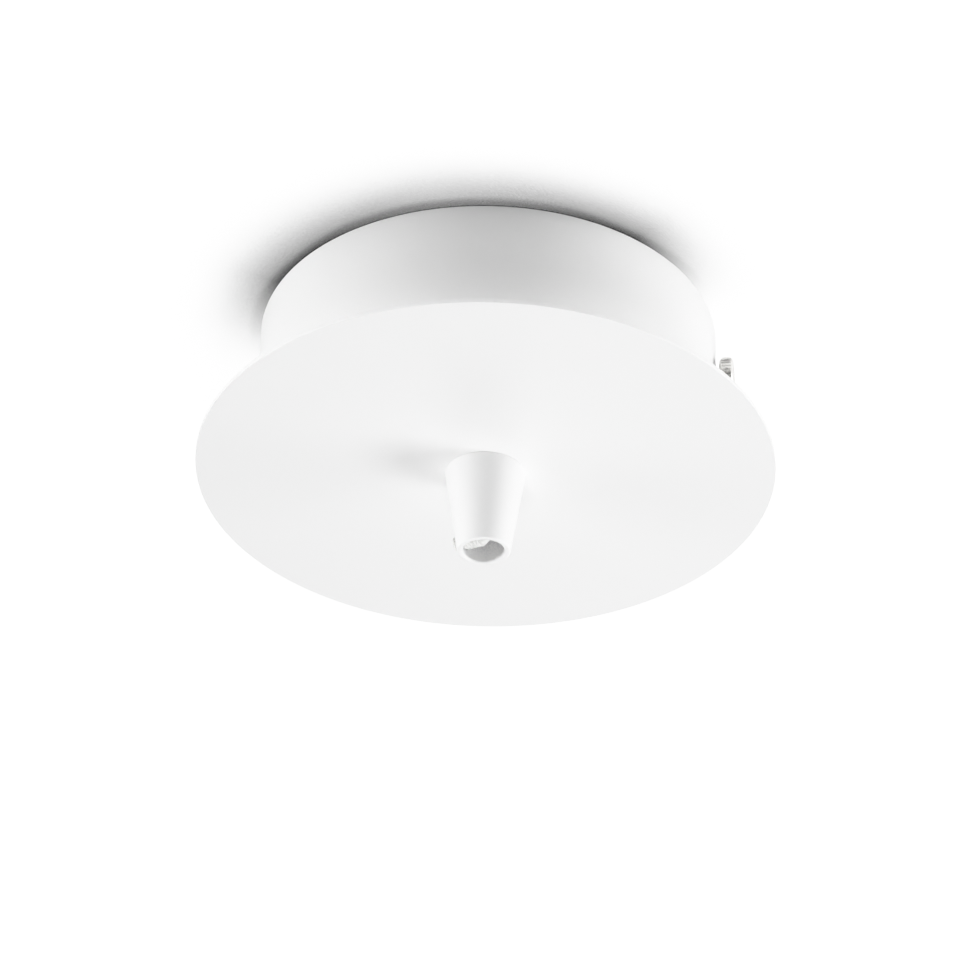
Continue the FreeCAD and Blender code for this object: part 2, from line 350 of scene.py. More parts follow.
@dataclass(frozen=True)
class PlatedMetal:
    """Bare or plated metal with cloudy patches and fine tool marks."""

    name: str
    deep: Colour
    pale: Colour
    roughness: float
    patch: float
    mark: float
    stretch: Point = (1.0, 1.0, 1.0)
    patch_span: Span = (0.32, 0.68)
    patch_play: float = 0.12
    mark_play: float = 0.14
    mark_strength: float = 0.35
    mark_depth: float = 0.012 * MM

    def make(self) -> bpy.types.Material:
        """Make the material.

        Returns:
            The finished metal.
        """
        sheet = NodeSheet(self.name)
        patch = sheet.ramp(sheet.noise(self.patch, 4.0), *self.patch_span)
        marks = sheet.noise(self.mark, 2.0, self.stretch)
        play = self.patch_play * (patch - 0.5) + self.mark_play * (marks - 0.5)
        return sheet.shade({
            "Metallic": 1.0,
            "Base Color": sheet.blend(self.deep, self.pale, patch),
            "Roughness": self.roughness + play,
            "Normal": sheet.bump(marks, self.mark_strength, self.mark_depth),
        })


@dataclass(frozen=True)
class MouldedPlastic:
    """Moulded plastic with a fine matt skin and faint flow clouds."""

    name: str
    deep: Colour
    pale: Colour
    roughness: float
    flow: float = 7.0 * MM
    flow_play: float = 0.10
    skin: float = 0.22 * MM
    skin_play: float = 0.08
    skin_strength: float = 0.3
    skin_depth: float = 0.010 * MM

    def make(self) -> bpy.types.Material:
        """Make the material.

        Returns:
            The finished plastic.
        """
        sheet = NodeSheet(self.name)
        flow = sheet.noise(self.flow, 3.0)
        skin = sheet.noise(self.skin, 2.0)
        play = self.flow_play * (flow - 0.5) + self.skin_play * (skin - 0.5)
        return sheet.shade({
            "Base Color": sheet.blend(self.deep, self.pale, flow),
            "Roughness": self.roughness + play,
            "Normal": sheet.bump(skin, self.skin_strength, self.skin_depth),
        })


@dataclass
class Finishes:
    """Every finish of the rose, made once."""

    coat: bpy.types.Material = field(default_factory=lambda: PowderCoat().make())
    bore: bpy.types.Material = field(default_factory=lambda: PaintedShadeBore().make())
    nickel: bpy.types.Material = field(default_factory=lambda: PlatedMetal(
        "knurled_nickel", (0.78, 0.77, 0.75), (0.91, 0.90, 0.88), 0.33, 3.0 * MM, 0.16 * MM).make())
    zinc: bpy.types.Material = field(default_factory=lambda: PlatedMetal(
        "plated_zinc", (0.50, 0.515, 0.53), (0.70, 0.71, 0.72), 0.38, 6.0 * MM, 0.2 * MM,
        (0.25, 3.0, 1.0)).make())
    brass: bpy.types.Material = field(default_factory=lambda: PlatedMetal(
        "turned_brass", (0.64, 0.46, 0.20), (0.82, 0.63, 0.32), 0.30, 4.0 * MM, 0.15 * MM).make())
    nylon: bpy.types.Material = field(default_factory=lambda: MouldedPlastic(
        "white_nylon", (0.80, 0.80, 0.785), (0.86, 0.86, 0.85), 0.40, 3.0 * MM).make())
    block: bpy.types.Material = field(default_factory=lambda: MouldedPlastic(
        "moulded_block", (0.74, 0.725, 0.66), (0.82, 0.81, 0.76), 0.48).make())
    bush: bpy.types.Material = field(default_factory=lambda: MouldedPlastic(
        "black_bush", (0.018, 0.018, 0.019), (0.045, 0.045, 0.047), 0.44).make())


@dataclass(frozen=True)
class Corner:
    """Corner of an outline: its two coordinates and how far back it is rounded."""

    a: float
    b: float
    ease: float = 0.0
    steps: int = 4


@dataclass(frozen=True)
class ThreadForm:
    """Section of a screw thread, as shares of its pitch, and the faces round one turn."""

    root_end: float = 0.16
    crest_start: float = 0.50
    crest_end: float = 0.66
    steps: int = 40


class Workpiece:
    """A closed shape in the making, in metres, in the frame of the rose."""

    def __init__(self) -> None:
        """Start with nothing."""
        self.mesh = bmesh.new()

    def lay(self, outline: Sequence[Corner], closed: bool) -> None:
        """Lay an outline as edges in the XZ plane and round its corners.

        Args:
            outline: Corners in order, as X and Z.
            closed: Whether the last corner joins the first.
        """
        verts = [self.mesh.verts.new((corner.a, 0.0, corner.b)) for corner in outline]
        ends = verts[1:] + verts[:1] if closed else verts[1:]
        for start, end in zip(verts, ends):
            self.mesh.edges.new((start, end))
        for vert, corner in zip(verts, outline):
            if corner.ease > 0.0:
                bmesh.ops.bevel(self.mesh, geom=[vert], offset=corner.ease, offset_type="OFFSET",
                                segments=corner.steps, profile=0.5, affect="VERTICES", material=-1)

    def close(self) -> "Workpiece":
        """Merge doubles and point the faces outwards.

        Returns:
            This piece.
        """
        bmesh.ops.remove_doubles(self.mesh, verts=self.mesh.verts[:], dist=MERGE_REACH)
        bmesh.ops.recalc_face_normals(self.mesh, faces=self.mesh.faces[:])
        return self

    @classmethod
    def turned(cls, outline: Sequence[Corner], steps: int, closed: bool = True) -> "Workpiece":
        """Turn an outline about Z.

        Args:
            outline: Corners as radius and height.
            steps: Faces round the turn.
            closed: Whether the outline is a ring section; if not, both its ends lie on the axis.

        Returns:
            The turned piece.
        """
        piece = cls()
        piece.lay(outline, closed)
        geom = piece.mesh.verts[:] + piece.mesh.edges[:]
        bmesh.ops.spin(piece.mesh, geom=geom, cent=(0.0, 0.0, 0.0), axis=(0.0, 0.0, 1.0),
                       angle=FULL_TURN, steps=steps, use_merge=True)
        return piece.close()

    @classmethod
    def prism(cls, outline: Sequence[Corner], width: float) -> "Workpiece":
        """Push an outline in the XZ plane along Y.

        Args:
            outline: Corners as X and Z.
            width: Length along Y, half to each side.

        Returns:
            The prism.
        """
        piece = cls()
        piece.lay(outline, True)
        face = bmesh.ops.contextual_create(piece.mesh, geom=piece.mesh.edges[:])["faces"]
        pushed = bmesh.ops.extrude_face_region(piece.mesh, geom=face, use_keep_orig=True)["geom"]
        moved = [item for item in pushed if isinstance(item, bmesh.types.BMVert)]
        bmesh.ops.translate(piece.mesh, verts=moved, vec=(0.0, width, 0.0))
        bmesh.ops.translate(piece.mesh, verts=piece.mesh.verts[:], vec=(0.0, -width / 2.0, 0.0))
        return piece.close()

    @classmethod
    def box(cls, low: Point, high: Point) -> "Workpiece":
        """Make a box between two corners.

        Args:
            low: Lowest corner.
            high: Highest corner.

        Returns:
            The box.
        """
        piece = cls()
        size = Vector(high) - Vector(low)
        middle = (Vector(high) + Vector(low)) / 2.0
        fitted = Matrix.Translation(middle) @ Matrix.Diagonal((*size, 1.0))
        bmesh.ops.create_cube(piece.mesh, size=1.0, matrix=fitted)
        return piece.close()

    @classmethod
    def rod(cls, radius: float, low: float, high: float, steps: int = 48) -> "Workpiece":
        """Make a plain round bar on Z.

        Args:
            radius: Radius of the bar.
            low: Height of its lower end.
            high: Height of its upper end.
            steps: Faces round it.

        Returns:
            The bar.
        """
        piece = cls()
        bmesh.ops.create_cone(piece.mesh, cap_ends=True, segments=steps, radius1=radius, radius2=radius,
                              depth=high - low, matrix=Matrix.Translation((0.0, 0.0, (low + high) / 2.0)))
        return piece.close()

    @classmethod
    def stadium(cls, length: float, width: float, low: float, high: float) -> "Workpiece":
        """Make a bar with round ends, long along X.

        Args:
            length: Whole length along X.
            width: Width along Y.
            low: Height of its lower face.
            high: Height of its upper face.

        Returns:
            The bar.
        """
        piece = cls.rod(width / 2.0, low, high)
        for sign in (-1.0, 1.0):
            half = [vert for vert in piece.mesh.verts if sign * vert.co.x > MERGE_REACH]
            bmesh.ops.translate(piece.mesh, verts=half, vec=(sign * (length - width) / 2.0, 0.0, 0.0))
        return piece.close()

    @classmethod
    def thread(cls, crest: float, deep: float, pitch: float, low: float, high: float) -> "Workpiece":
        """Make a screw thread on Z by turning a row of teeth up a helix.

        Args:
            crest: Radius over the thread.
            deep: Depth of the groove.
            pitch: Rise of one turn.
            low: Height of the lower end.
            high: Height of the upper end.

        Returns:
            The threaded bar, with flat ends.
        """
        piece = cls()
        form = ThreadForm()
        teeth = int((high - low) / pitch) + 4
        root = crest - deep
        row: list[Corner] = []
        for number in range(teeth):
            foot = low + (number - 2) * pitch
            row += [Corner(root, foot), Corner(root, foot + form.root_end * pitch),
                    Corner(crest, foot + form.crest_start * pitch),
                    Corner(crest, foot + form.crest_end * pitch)]
        piece.lay(row, False)
        geom = piece.mesh.verts[:] + piece.mesh.edges[:]
        bmesh.ops.spin(piece.mesh, geom=geom, cent=(0.0, 0.0, 0.0), axis=(0.0, 0.0, 1.0),
                       dvec=(0.0, 0.0, pitch / form.steps), angle=FULL_TURN, steps=form.steps)
        bmesh.ops.remove_doubles(piece.mesh, verts=piece.mesh.verts[:], dist=MERGE_REACH)
        for level, upper in ((low, False), (high, True)):
            geom = piece.mesh.verts[:] + piece.mesh.edges[:] + piece.mesh.faces[:]
            bmesh.ops.bisect_plane(piece.mesh, geom=geom, dist=0.1 * MERGE_REACH,
                                   plane_co=(0.0, 0.0, level), plane_no=(0.0, 0.0, 1.0),
                                   clear_outer=upper, clear_inner=not upper)
        rims = [edge for edge in piece.mesh.edges if edge.is_boundary]
        bmesh.ops.holes_fill(piece.mesh, edges=rims, sides=0)
        return piece.close()

    def moved(self, place: Matrix) -> "Workpiece":
        """Move or turn the piece and give it back."""
        bmesh.ops.transform(self.mesh, matrix=place, verts=self.mesh.verts[:])
        return self

    def copy(self) -> "Workpiece":
        """Make a second piece of the same shape.

        Returns:
            The second piece.
        """
        twin = Workpiece()
        twin.mesh = self.mesh.copy()
        return twin

    def gather(self, other: "Workpiece") -> "Workpiece":
        """Take in a separate piece.

        Args:
            other: The piece that is taken in.

        Returns:
            Both as one piece.
        """
        carrier = bpy.data.meshes.new("carrier")
        other.mesh.to_mesh(carrier)
        self.mesh.from_mesh(carrier)
        bpy.data.meshes.remove(carrier)
        return self

    def _bench(self, name: str) -> bpy.types.Object:
        """Lay the piece on the bench as an object.

        Args:
            name: Name of the object.

        Returns:
            The object.
        """
        mesh = bpy.data.meshes.new(name)
        self.mesh.to_mesh(mesh)
        holder = bpy.data.objects.new(name, mesh)
        bpy.context.scene.collection.objects.link(holder)
        return holder

    def work(self, tool: "Workpiece", how: Joining) -> "Workpiece":
        """Cut, keep or weld with another closed shape.

        Args:
            tool: The other shape.
            how: What is done with it.

        Returns:
            This piece, worked.
        """
        base = self._bench("base")
        other = tool._bench("tool")
        step = base.modifiers.new("work", "BOOLEAN")
        step.operation = how.value
        step.solver = "EXACT"
        step.object = other
        graph = bpy.context.evaluated_depsgraph_get()
        worked = bpy.data.meshes.new_from_object(base.evaluated_get(graph))
        self.mesh.free()
        self.mesh = bmesh.new()
        self.mesh.from_mesh(worked)
        for spent in (base.data, other.data, worked):
            bpy.data.meshes.remove(spent)
        return self.close()

    def paint(self, number: int, where: Callable[[Vector], bool]) -> "Workpiece":
        """Give faces another of the piece's finishes.

        Args:
            number: Place of the finish in the piece's list.
            where: Test on the middle of a face.

        Returns:
            This piece.
        """
        for face in self.mesh.faces:
            if where(face.calc_center_median()):
                face.material_index = number
        return self

    def finish(self, name: str, node: str, body: Body, slot: Slot, looks: Sequence[bpy.types.Material],
               edge: float = 0.0) -> None:
        """Turn the piece into an object that stands for a solid of the frame.

        Args:
            name: Name of the object.
            node: Solid of the frame that it stands for.
            body: Body that it rides on.
            slot: Finish that the record names for it; not used.
            looks: Materials, the main one first.
            edge: Width of the eased edges, if any are left sharp.
        """
        mesh = bpy.data.meshes.new(name)
        self.mesh.to_mesh(mesh)
        self.mesh.free()
        mesh.shade_smooth()
        mesh.set_sharp_from_angle(angle=SHARP_ANGLE)
        for look in looks:
            mesh.materials.append(look)
        piece = bpy.data.objects.new(name, mesh)
        bpy.context.scene.collection.objects.link(piece)
        if edge > 0.0:
            ease = piece.modifiers.new("eased_edges", "BEVEL")
            ease.width = edge
            ease.segments = 3
            ease.limit_method = "ANGLE"
            ease.angle_limit = SHARP_ANGLE
            ease.harden_normals = True
        else:
            even = piece.modifiers.new("even_normals", "WEIGHTED_NORMAL")
            even.keep_sharp = True
            even.weight = 90
        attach(piece, body.value)
        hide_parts(node)
        LOG.info("%s: %d faces", name, len(mesh.polygons))


@dataclass(frozen=True)
class NodeBox:
    """Box of a solid of the frame."""

    low: Vector
    high: Vector

    @classmethod
    def of(cls, node: str) -> "NodeBox":
        """Measure a solid by its name."""
        low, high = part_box(node)
        return cls(Vector(low), Vector(high))

    @property
    def middle(self) -> Vector:
        """Middle of the box."""
        return (self.low + self.high) / 2.0


def grey(tone: float) -> Colour:
    """Give a plain grey."""
    return (tone, tone, tone)


def joint_axis(name: str) -> Vector:
    """Direction of a joint, from the part's record.

    Args:
        name: Name of the joint.

    Returns:
        The unit vector along which it travels.
    """
    joints = frame["record"]["behaviour"]["joints"]
    return Vector(next(joint["axis"] for joint in joints if joint["name"] == name)).normalized()


@dataclass
class Canopy:
    """Drum, disc and cord cone, all in the white coat."""

    finishes: Finishes
    drum_radius: float = 60.0 * MM
    drum_wall: float = 1.0 * MM
    drum_corner: float = 2.0 * MM
    rim_ease: float = 0.2 * MM
    centre_hole: float = 5.3 * MM
    side_hole: float = 2.3 * MM
    disc_radius: float = 75.0 * MM
    disc_edge: float = 0.2 * MM
    cone_base: float = 10.45 * MM
    cone_tip: float = 6.8 * MM
    cone_tip_edge: float = 0.4 * MM
    cone_base_edge: float = 0.25 * MM
    mouth: float = 5.3 * MM
    mouth_edge: float = 0.75 * MM
    tapped: float = 5.05 * MM
    tapped_length: float = 10.0 * MM
    screw_hole: float = 2.05 * MM
    bore_skin: float = 0.01 * MM
    steps: int = 256
    cone_steps: int = 128

    def build(self) -> None:
        """Make and dress the three pieces."""
        self.build_drum()
        self.build_disc()
        self.build_cone()

    def build_drum(self) -> None:
        """Turn the drawn cup and cut its side holes."""
        box = NodeBox.of("drum_shell")
        top, low = box.high.z, box.low.z
        inner = self.drum_radius - self.drum_wall
        floor = low + self.drum_wall
        drum = Workpiece.turned([
            Corner(self.drum_radius, top, self.rim_ease),
            Corner(self.drum_radius, low, self.drum_corner, 8),
            Corner(self.centre_hole, low),
            Corner(self.centre_hole, floor),
            Corner(inner, floor, self.drum_corner - self.drum_wall, 6),
            Corner(inner, top, self.rim_ease),
        ], self.steps)
        reach = 2.0 * self.drum_radius
        drill = Workpiece.rod(self.side_hole, -reach, reach)
        height = NodeBox.of("thumb_screw_right").middle.z
        drum.work(drill.moved(Matrix.Translation((0.0, 0.0, height)) @ ALONG_X), Joining.CUT)
        drum.finish("painted_drum", "drum_shell", Body.CANOPY, Slot.COAT, [self.finishes.coat])

    def build_disc(self) -> None:
        """Turn the thin disc with its rounded rim."""
        box = NodeBox.of("front_disc")
        disc = Workpiece.turned([
            Corner(self.centre_hole, box.low.z),
            Corner(self.disc_radius, box.low.z, self.disc_edge, 5),
            Corner(self.disc_radius, box.high.z, self.disc_edge, 5),
            Corner(self.centre_hole, box.high.z),
        ], self.steps)
        disc.finish("painted_disc", "front_disc", Body.CANOPY, Slot.COAT, [self.finishes.coat])

    def build_cone(self) -> None:
        """Turn the cord cone, drill its screw hole and give its bore a rough finish with painted light and
        shade.
        """
        box = NodeBox.of("cord_cone")
        base, tip = box.high.z, box.low.z
        step = base - self.tapped_length
        cone = Workpiece.turned([
            Corner(self.cone_base, base, self.cone_base_edge),
            Corner(self.cone_tip, tip, self.cone_tip_edge, 8),
            Corner(self.mouth, tip, self.mouth_edge, 8),
            Corner(self.mouth, step),
            Corner(self.tapped, step),
            Corner(self.tapped, base),
        ], self.cone_steps)
        axis = joint_axis("cord_screw_travel")
        height = NodeBox.of("cord_screw").middle.z
        turned = axis.to_track_quat("Z", "Y").to_matrix().to_4x4()
        drill = Workpiece.rod(self.screw_hole, 0.0, 2.0 * self.cone_base)
        cone.work(drill.moved(Matrix.Translation((0.0, 0.0, height)) @ turned), Joining.CUT)
        inside = self.mouth + self.bore_skin
        mouth_end = tip + self.mouth_edge
        # The bore's faces take the finish with painted light and shade.
        cone.paint(1, lambda spot: math.hypot(spot.x, spot.y) < inside and spot.z > mouth_end)
        looks = [self.finishes.coat, self.finishes.bore]
        cone.finish("painted_cone", "cord_cone", Body.CANOPY, Slot.COAT, looks)


@dataclass
class CordScrew:
    """Slotted nylon screw that clamps the cord in the mouth of the cone."""

    finishes: Finishes
    radius: float = 2.0 * MM
    pitch: float = 1.0 * MM
    deep: float = 0.42 * MM
    inner_end: float = -1.4 * MM
    outer_end: float = 8.0 * MM
    point_length: float = 1.8 * MM
    point_radius: float = 0.9 * MM
    point_edge: float = 0.2 * MM
    end_edge: float = 0.25 * MM
    slot_width: float = 0.7 * MM
    slot_deep: float = 1.1 * MM
    steps: int = 48

    def build(self) -> None:
        """Cut the thread, the point and the driver slot."""
        screw = Workpiece.thread(self.radius, self.deep, self.pitch,
                                 self.inner_end - self.pitch, self.outer_end + self.pitch)
        wide = self.radius + CREST_CLEAR
        form = Workpiece.turned([
            Corner(0.0, self.inner_end),
            Corner(self.point_radius, self.inner_end, self.point_edge),
            Corner(wide, self.inner_end + self.point_length),
            Corner(wide, self.outer_end, self.end_edge),
            Corner(0.0, self.outer_end),
        ], self.steps, False)
        screw.work(form, Joining.KEEP)
        half = self.slot_width / 2.0
        reach = 2.0 * self.radius
        slot = Workpiece.box((-half, -reach, self.outer_end - self.slot_deep),
                             (half, reach, self.outer_end + reach))
        screw.work(slot, Joining.CUT)
        axis = joint_axis("cord_screw_travel")
        height = NodeBox.of("cord_screw").middle.z
        turned = axis.to_track_quat("Z", "X").to_matrix().to_4x4()
        screw.moved(Matrix.Translation((0.0, 0.0, height)) @ turned)
        screw.finish("nylon_cord_screw", "cord_screw", Body.CORD_SCREW, Slot.NYLON, [self.finishes.nylon])


@dataclass
class ThumbScrew:
    """Knurled thumb screw in the side of the drum."""

    finishes: Finishes
    side: Side
    radius: float = 2.0 * MM
    pitch: float = 0.7 * MM
    deep: float = 0.38 * MM
    tip: float = 55.2 * MM
    tip_edge: float = 0.5 * MM
    seat: float = 61.25 * MM
    head_radius: float = 4.9 * MM
    head_length: float = 3.5 * MM
    head_edge: float = 1.1 * MM
    root: float = 0.5 * MM
    knurls: int = 32
    groove_radius: float = 0.385 * MM
    groove_out: float = 0.042 * MM
    steps: int = 48

    def make_head(self) -> Workpiece:
        """Make the knurled head on Z from its seat up.

        Returns:
            The head.
        """
        end = self.seat + self.head_length
        steps = 4 * self.knurls
        head = Workpiece.rod(self.head_radius, self.seat, end, steps)
        groove = Workpiece.rod(self.groove_radius, self.seat - self.radius, end + self.radius, 4)
        grooves = Workpiece()
        reach = self.head_radius + self.groove_out
        for number in range(self.knurls):
            turn = Matrix.Rotation(FULL_TURN * number / self.knurls, 4, "Z")
            grooves.gather(groove.copy().moved(turn @ Matrix.Translation((reach, 0.0, 0.0))))
        head.work(grooves, Joining.CUT)
        wide = self.head_radius + CREST_CLEAR
        form = Workpiece.turned([
            Corner(0.0, self.seat),
            Corner(wide, self.seat, self.head_edge, 6),
            Corner(wide, end, self.head_edge, 6),
            Corner(0.0, end),
        ], steps, False)
        return head.work(form, Joining.KEEP)

    def build(self) -> None:
        """Make the screw and put it in its side of the drum."""
        screw = Workpiece.thread(self.radius, self.deep, self.pitch,
                                 self.tip - self.pitch, self.seat + self.pitch)
        wide = self.radius + CREST_CLEAR
        form = Workpiece.turned([
            Corner(0.0, self.tip),
            Corner(self.radius - self.tip_edge, self.tip),
            Corner(wide, self.tip + self.tip_edge),
            Corner(wide, self.seat + self.root),
            Corner(0.0, self.seat + self.root),
        ], self.steps, False)
        screw.work(form, Joining.KEEP)
        screw.work(self.make_head(), Joining.WELD)
        node = "thumb_screw_right" if self.side is Side.RIGHT else "thumb_screw_left"
        body = Body.RIGHT_SCREW if self.side is Side.RIGHT else Body.LEFT_SCREW
        lift = Matrix.Translation((0.0, 0.0, NodeBox.of(node).middle.z))
        half_turn = Matrix.Rotation(0.0 if self.side is Side.RIGHT else math.pi, 4, "Z")
        screw.moved(lift @ half_turn @ ALONG_X)
        name = "knurled_" + self.side.name.lower() + "_screw"
        screw.finish(name, node, body, Slot.NICKEL, [self.finishes.nickel])


@dataclass(frozen=True)
class HexNut:
    """Hexagon nut on Z with its corners turned off at both faces."""

    across: float
    thickness: float
    hole: float
    hole_edge: float = 0.2 * MM
    chamfer: float = math.radians(30.0)
    corner_clear: float = 0.05 * MM
    steps: int = 96

    def make(self, foot: float) -> Workpiece:
        """Make the nut.

        Args:
            foot: Height of its lower face.

        Returns:
            The nut, with two corners on the X axis.
        """
        flat = self.across / 2.0
        corner = self.across / math.sqrt(3.0)
        drop = (corner - flat) * math.tan(self.chamfer)
        head = foot + self.thickness
        wide = corner + self.corner_clear
        nut = Workpiece.rod(corner, foot, head, 6).moved(Matrix.Rotation(math.pi / 2.0, 4, "Z"))
        form = Workpiece.turned([
            Corner(self.hole, foot, self.hole_edge, 2),
            Corner(flat, foot),
            Corner(wide, foot + drop),
            Corner(wide, head - drop),
            Corner(flat, head),
            Corner(self.hole, head, self.hole_edge, 2),
        ], self.steps)
        return nut.work(form, Joining.KEEP)


@dataclass(frozen=True)
class SlottedScrew:
    """Cheese-head screw on Z: the shank rises from z = 0, the slotted head hangs below."""

    radius: float
    pitch: float
    length: float
    head_radius: float
    head_length: float
    thread_share: float = 0.55
    root_share: float = 0.3
    crown_share: float = 0.18
    foot_share: float = 0.05
    slot_width_share: float = 0.16
    slot_depth_share: float = 0.5
    steps: int = 48
    head_steps: int = 64

    def make(self) -> Workpiece:
        """Make the screw.

        Returns:
            The screw.
        """
        deep = self.thread_share * self.pitch
        wide = self.radius + CREST_CLEAR
        inside = -self.root_share * self.head_length
        screw = Workpiece.thread(self.radius, deep, self.pitch,
                                 inside - self.pitch, self.length + self.pitch)
        screw.work(Workpiece.turned([
            Corner(0.0, inside),
            Corner(wide, inside),
            Corner(wide, self.length - deep),
            Corner(wide - deep, self.length),
            Corner(0.0, self.length),
        ], self.steps, False), Joining.KEEP)
        head = Workpiece.turned([
            Corner(0.0, -self.head_length),
            Corner(self.head_radius, -self.head_length, self.crown_share * self.head_length),
            Corner(self.head_radius, 0.0, self.foot_share * self.head_length, 2),
            Corner(0.0, 0.0),
        ], self.head_steps, False)
        half = self.slot_width_share * self.head_radius
        reach = 2.0 * self.head_radius
        floor = -self.slot_depth_share * self.head_length
        slot = Workpiece.box((-reach, -half, -reach), (reach, half, floor))
        head.work(slot, Joining.CUT)
        return screw.work(head, Joining.WELD)


@dataclass
class NippleStack:
    """Hollow nipple that clamps cone, disc and drum, with what sits on it inside the drum."""

    finishes: Finishes
    radius: float = 5.0 * MM
    bore: float = 3.7 * MM
    pitch: float = 1.0 * MM
    deep: float = 0.55 * MM
    end_edge: float = 0.5 * MM
    bore_edge: float = 0.2 * MM
    steps: int = 64
    washer_radius: float = 13.0 * MM
    washer_hole: float = 5.25 * MM
    washer_edge: float = 0.1 * MM
    washer_drawn_edge: float = 0.35 * MM
    washer_hole_edge: float = 0.2 * MM
    turned_steps: int = 96
    tooth_tip: float = 8.42 * MM
    tooth_root: float = 6.9 * MM
    tooth_width: float = 2.25 * MM
    tooth_sheet: float = 0.5 * MM
    tooth_edge: float = 0.05 * MM
    tooth_lap: float = 0.6 * MM
    tooth_twist: float = math.radians(7.5)
    tooth_count: int = 14
    nut: HexNut = HexNut(14.0 * MM, 3.5 * MM, 5.02 * MM)
    bush_flange: float = 6.3 * MM
    bush_sleeve: float = 3.65 * MM
    bush_bore: float = 3.2 * MM
    bush_flange_length: float = 1.4 * MM
    bush_edge: float = 0.15 * MM
    bush_shoulder: float = 0.7 * MM
    bush_throat: float = 0.6 * MM

    def build(self) -> None:
        """Make and dress the nipple and the four pieces on it."""
        self.build_nipple()
        self.build_washers()
        nut = self.nut.make(NodeBox.of("nipple_hex_nut").low.z)
        nut.finish("brass_nut", "nipple_hex_nut", Body.CANOPY, Slot.BRASS, [self.finishes.brass])
        self.build_bush()

    def build_nipple(self) -> None:
        """Cut the nipple's thread and bore."""
        box = NodeBox.of("threaded_nipple")
        low, top = box.low.z, box.high.z
        wide = self.radius + CREST_CLEAR
        nipple = Workpiece.thread(self.radius, self.deep, self.pitch, low - self.pitch, top + self.pitch)
        nipple.work(Workpiece.turned([
            Corner(self.bore, low, self.bore_edge, 2),
            Corner(wide - self.end_edge, low),
            Corner(wide, low + self.end_edge),
            Corner(wide, top - self.end_edge),
            Corner(wide - self.end_edge, top),
            Corner(self.bore, top, self.bore_edge, 2),
        ], self.steps), Joining.KEEP)
        nipple.finish("brass_nipple", "threaded_nipple", Body.CANOPY, Slot.BRASS, [self.finishes.brass])

    def build_washers(self) -> None:
        """Make the flat washer and the toothed one with its twisted teeth."""
        box = NodeBox.of("nipple_flat_washer")
        flat = Workpiece.turned([
            Corner(self.washer_hole, box.low.z, self.washer_edge, 2),
            Corner(self.washer_radius, box.low.z, self.washer_edge, 2),
            Corner(self.washer_radius, box.high.z, self.washer_drawn_edge),
            Corner(self.washer_hole, box.high.z, self.washer_hole_edge, 2),
        ], self.turned_steps)
        flat.finish("steel_washer", "nipple_flat_washer", Body.CANOPY, Slot.ZINC, [self.finishes.zinc])
        half = self.tooth_sheet / 2.0
        washer = Workpiece.turned([
            Corner(self.washer_hole, -half, self.tooth_edge, 2),
            Corner(self.tooth_root, -half, self.tooth_edge, 2),
            Corner(self.tooth_root, half, self.tooth_edge, 2),
            Corner(self.washer_hole, half, self.tooth_edge, 2),
        ], 8 * self.tooth_count)
        side = self.tooth_width / 2.0
        foot = self.tooth_root - self.tooth_lap
        tooth = Workpiece.box((foot, -side, -half), (self.tooth_tip, side, half))
        tooth.moved(Matrix.Rotation(self.tooth_twist, 4, "X"))
        teeth = Workpiece()
        for number in range(self.tooth_count):
            turn = Matrix.Rotation(FULL_TURN * (number + 0.5) / self.tooth_count, 4, "Z")
            teeth.gather(tooth.copy().moved(turn))
        washer.work(teeth, Joining.WELD)
        washer.moved(Matrix.Translation((0.0, 0.0, NodeBox.of("nipple_tooth_washer").middle.z)))
        washer.finish("toothed_washer", "nipple_tooth_washer", Body.CANOPY, Slot.ZINC, [self.finishes.zinc])

    def build_bush(self) -> None:
        """Turn the bush that keeps the cord off the nipple's edge."""
        box = NodeBox.of("nipple_cord_bush")
        seat = box.high.z - self.bush_flange_length
        bush = Workpiece.turned([
            Corner(self.bush_bore, box.low.z, self.bush_edge, 2),
            Corner(self.bush_sleeve, box.low.z, self.bush_edge, 2),
            Corner(self.bush_sleeve, seat),
            Corner(self.bush_flange, seat, self.bush_edge, 2),
            Corner(self.bush_flange, box.high.z, self.bush_shoulder, 6),
            Corner(self.bush_bore, box.high.z, self.bush_throat, 6),
        ], self.turned_steps)
        bush.finish("cord_bush", "nipple_cord_bush", Body.CANOPY, Slot.BUSH, [self.finishes.bush])


@dataclass
class WeldNuts:
    """Nuts welded inside the drum wall for the thumb screws."""

    finishes: Finishes
    nut: HexNut = HexNut(7.0 * MM, 4.2 * MM, 2.05 * MM)
    face: float = 55.8 * MM
    wall: float = 58.95 * MM
    wall_steps: int = 256

    def build(self) -> None:
        """Make both nuts with their backs hollowed to the wall."""
        box = NodeBox.of("side_weld_nuts")
        lift = Matrix.Translation((0.0, 0.0, box.middle.z))
        nut = self.nut.make(self.face).moved(lift @ ALONG_X)
        drum = Workpiece.rod(self.wall, box.low.z - self.face, box.high.z + self.face, self.wall_steps)
        nut.work(drum, Joining.KEEP)
        nut.gather(nut.copy().moved(Matrix.Rotation(math.pi, 4, "Z")))
        nut.finish("weld_nuts", "side_weld_nuts", Body.CANOPY, Slot.ZINC, [self.finishes.zinc])


